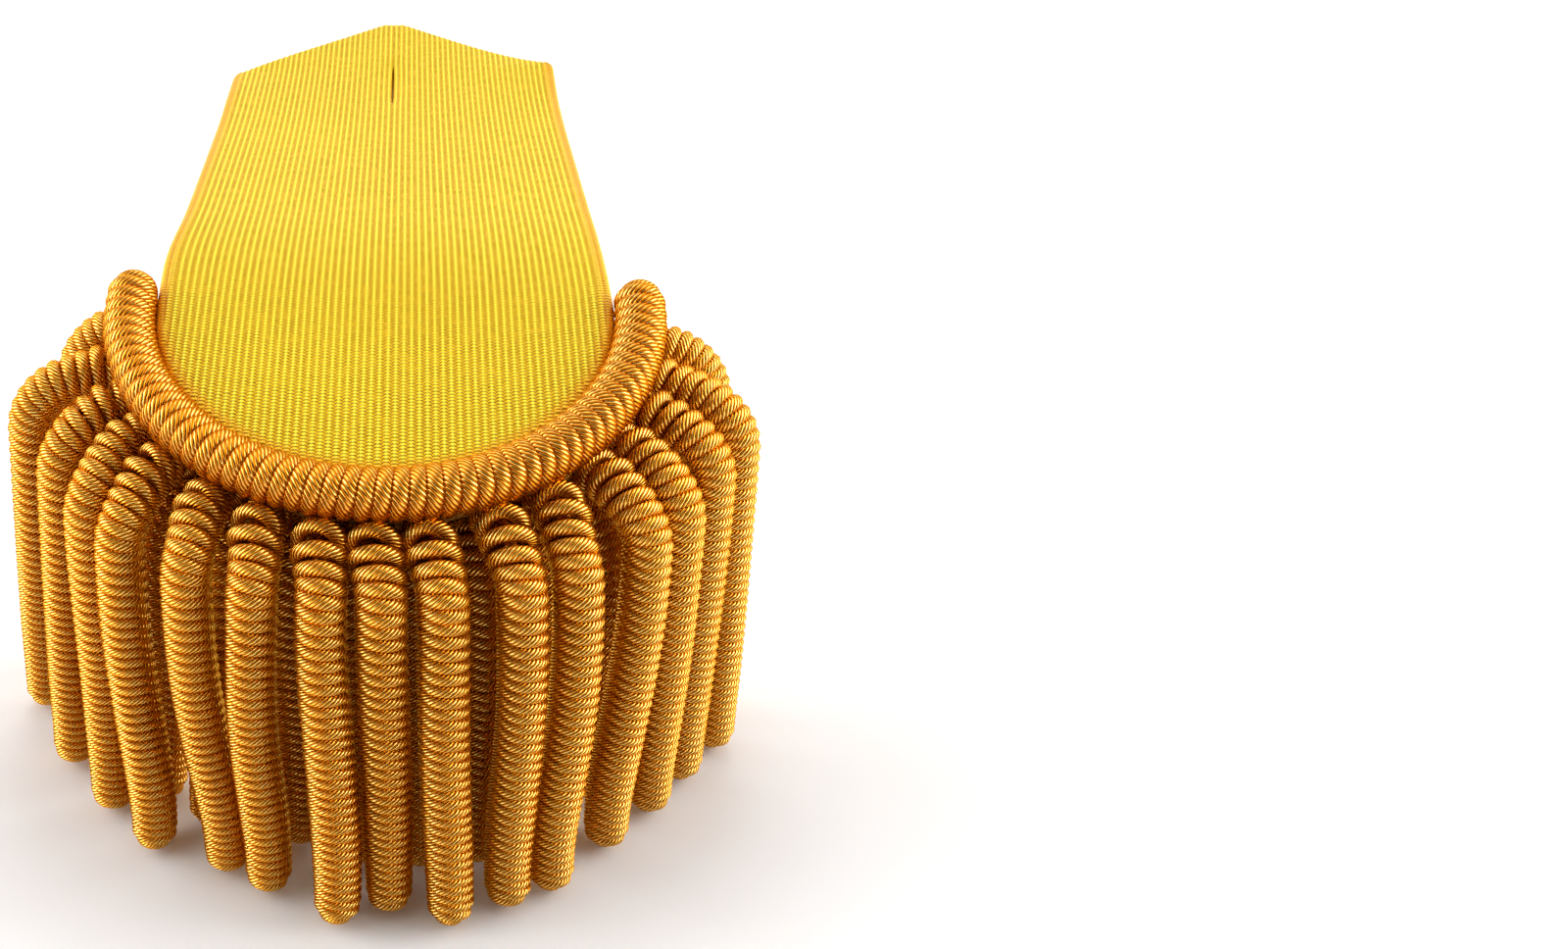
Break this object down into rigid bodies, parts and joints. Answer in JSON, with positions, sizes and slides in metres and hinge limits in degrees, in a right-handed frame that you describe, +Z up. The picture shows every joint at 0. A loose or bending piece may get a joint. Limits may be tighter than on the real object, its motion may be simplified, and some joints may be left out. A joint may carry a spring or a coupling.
{
  "type": "bullion epaulette",
  "caption": "Shoulder epaulette with a gold lace strap, coiled rim and double bullion fringe, for uniforms and costumes; buttonhole at the pointed end, tongue beneath.",
  "frame": {"origin": "middle of the plan outline, on the surface that the fringe stands on", "axes": "+Z up, +Y along the strap from the fringe to the pointed end with the buttonhole, +X to the right when seen from the fringe"},
  "size_m": [0.1264, 0.1884, 0.0852],
  "materials": {
    "lace": "ribbed gold lace, woven from metal-wrapped thread",
    "bullion": "bright gilt wire, spring-wound",
    "tongue": "plain rolled sheet, lightly tarnished"
  },
  "bodies": {
    "root": {"strap": "lace", "rim": "bullion", "fringe_outer": "bullion", "fringe_inner": "bullion", "tongue": "tongue"}
  },
  "joints": []
}
